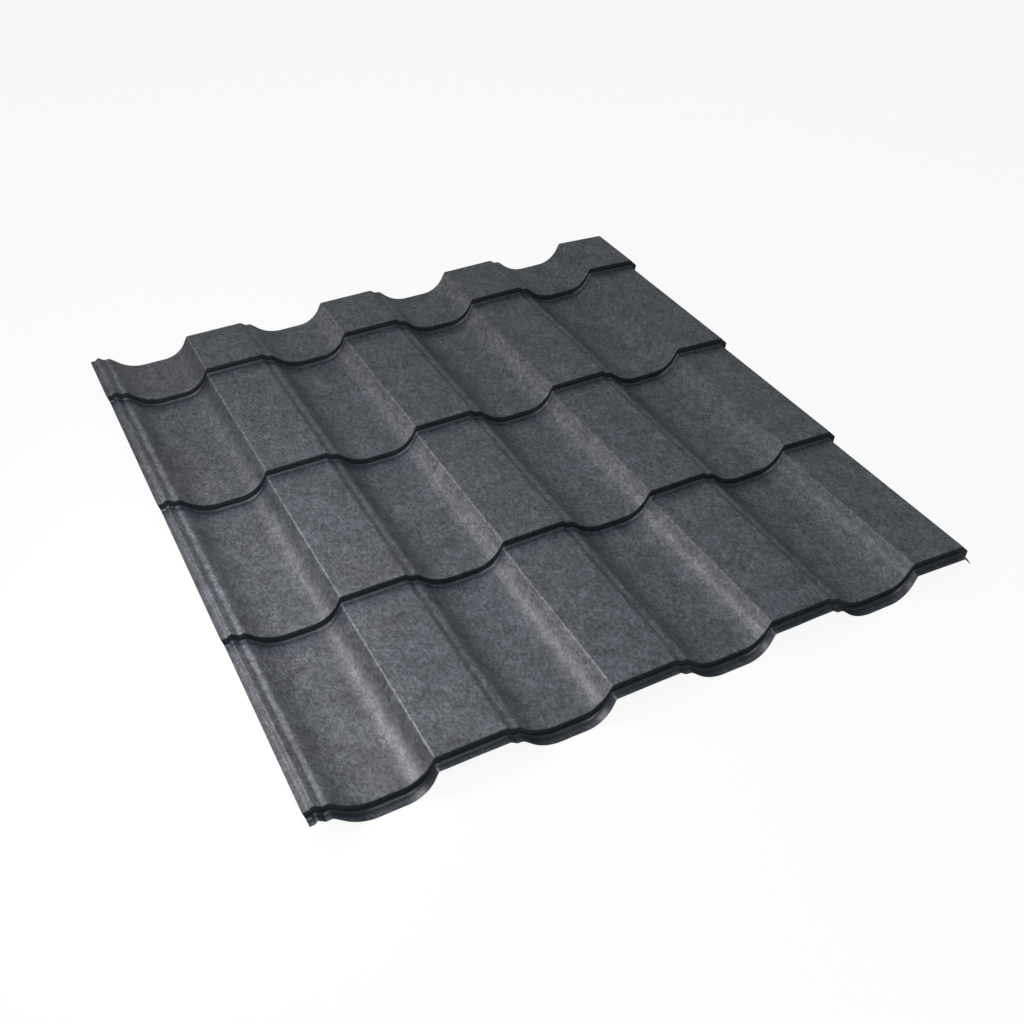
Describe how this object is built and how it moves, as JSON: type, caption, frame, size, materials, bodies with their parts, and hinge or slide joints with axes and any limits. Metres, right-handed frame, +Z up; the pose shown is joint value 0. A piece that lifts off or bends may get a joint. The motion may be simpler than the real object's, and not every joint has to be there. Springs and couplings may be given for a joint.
{
  "type": "tile effect metal roofing sheet",
  "caption": "Thin pressed steel roofing sheet with tile-shaped waves across and stepped courses along its length, with lap edges at the sides.",
  "frame": {"origin": "middle of the sheet's box in plan, on the floor that the sheet lies on", "axes": "+X across the waves towards the turned down edge, +Y up the roof from the flange at the eaves to the short head course, +Z up out of the weather face"},
  "size_m": [1.18, 1.204, 0.0555],
  "materials": {
    "coated_steel": "matt, fine textured anthracite coating on steel"
  },
  "bodies": {
    "root": {"roofing_sheet": "coated_steel"}
  },
  "joints": []
}
